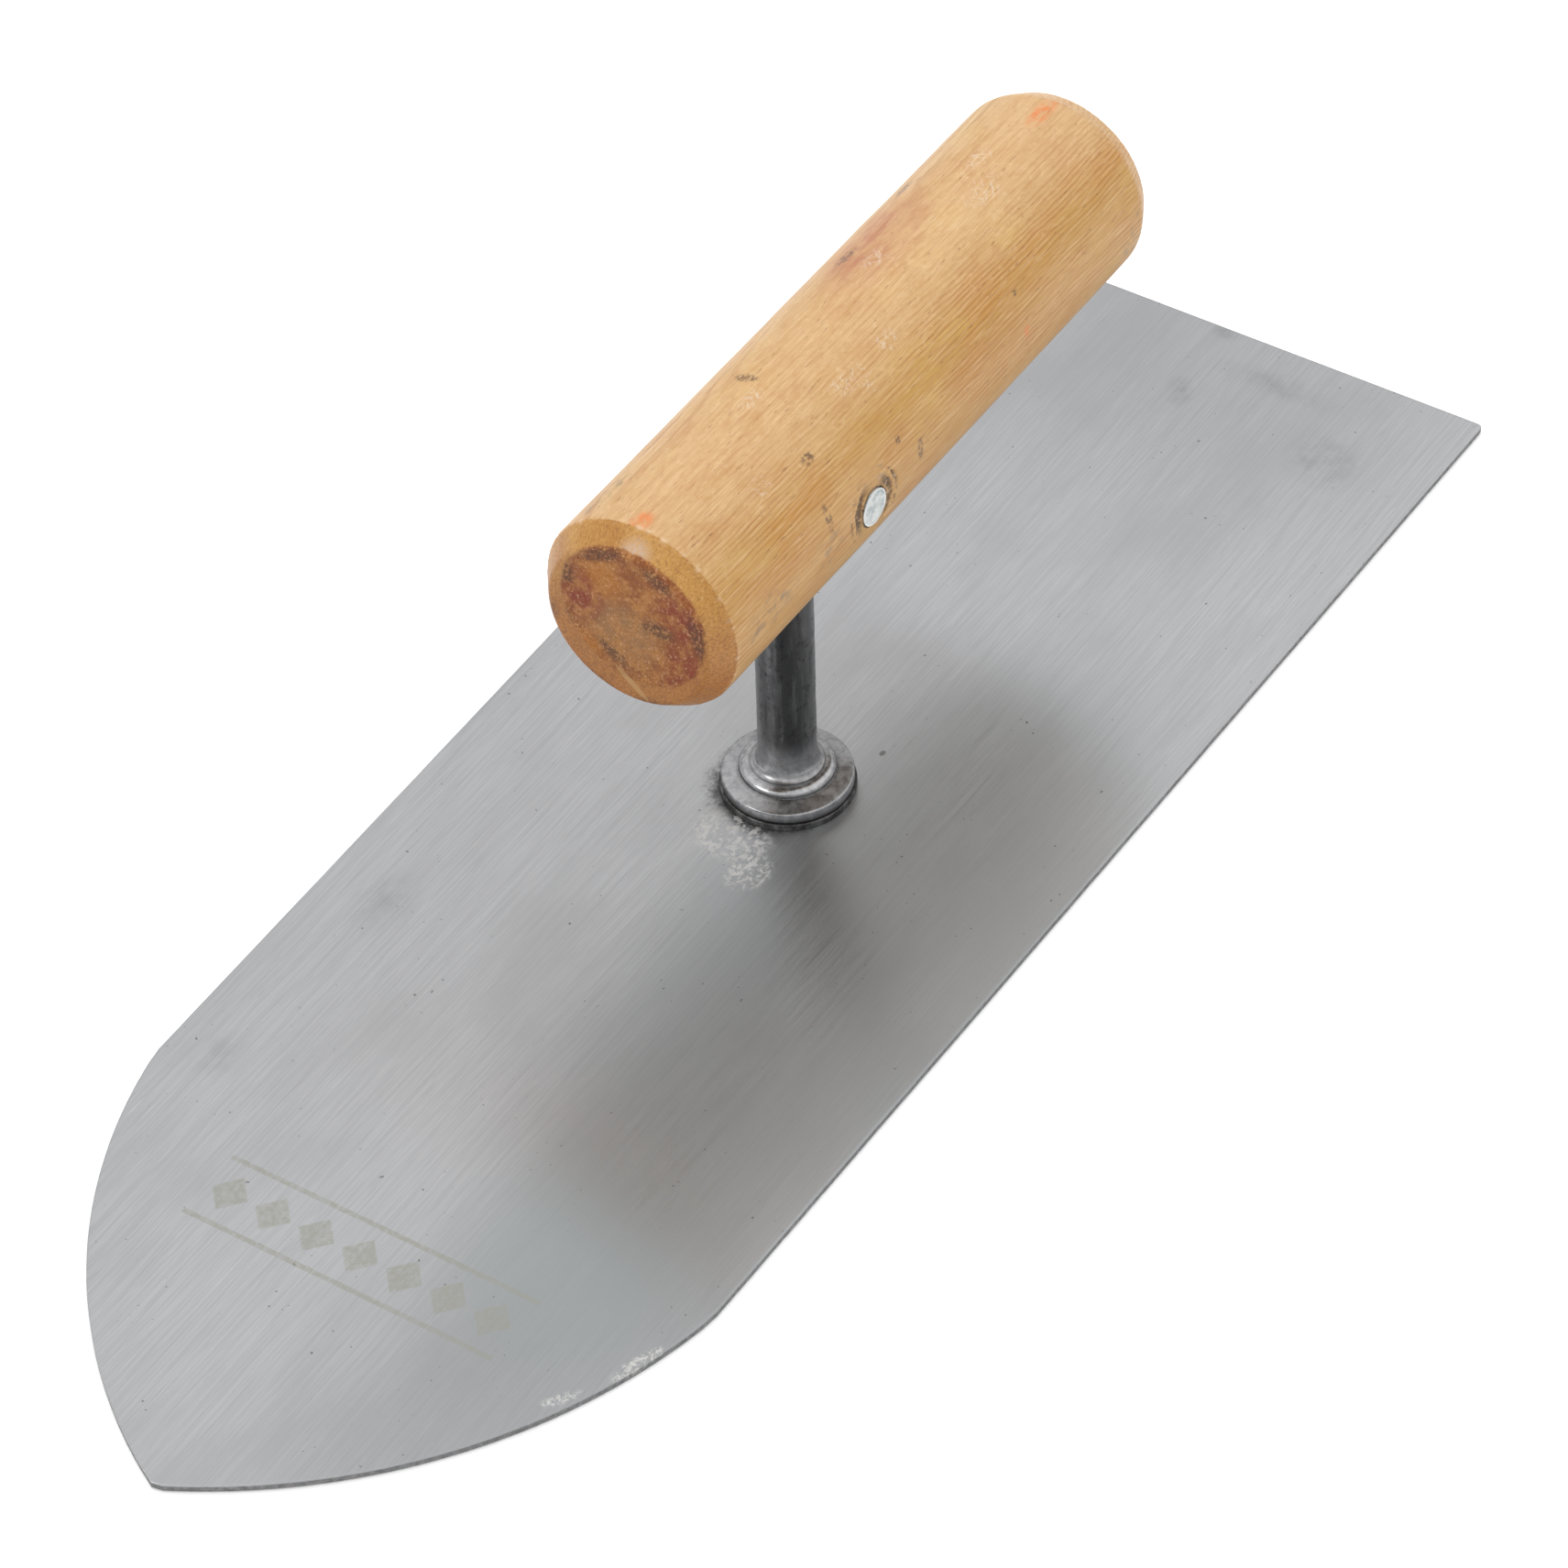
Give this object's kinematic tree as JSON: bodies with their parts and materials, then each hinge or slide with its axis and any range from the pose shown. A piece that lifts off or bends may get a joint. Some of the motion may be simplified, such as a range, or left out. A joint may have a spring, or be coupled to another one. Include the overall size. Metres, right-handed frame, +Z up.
{
  "type": "pointed finishing trowel",
  "caption": "Flat steel trowel with an arched pointed nose, a centre post on a stepped flange and a straight turned wooden handle.",
  "frame": {"origin": "on the flat sole of the blade, at the middle of the blade's length and width", "axes": "+X along the blade towards its pointed tip, +Z up from the sole towards the handle, +Y to the side of the cross rivet's flat head"},
  "size_m": [0.283, 0.1, 0.079],
  "materials": {
    "blade_steel": "satin, brushed along the blade",
    "washer_steel": "dull, dirty",
    "forged_steel": "dark forged skin, worn bright on the flange",
    "handle_wood": "clear varnish, used",
    "rivet_zinc": "zinc plated, matt"
  },
  "bodies": {
    "root": {"blade": "blade_steel", "base_washer": "washer_steel", "post": "forged_steel", "handle": "handle_wood", "cross_rivet": "rivet_zinc"}
  },
  "joints": []
}
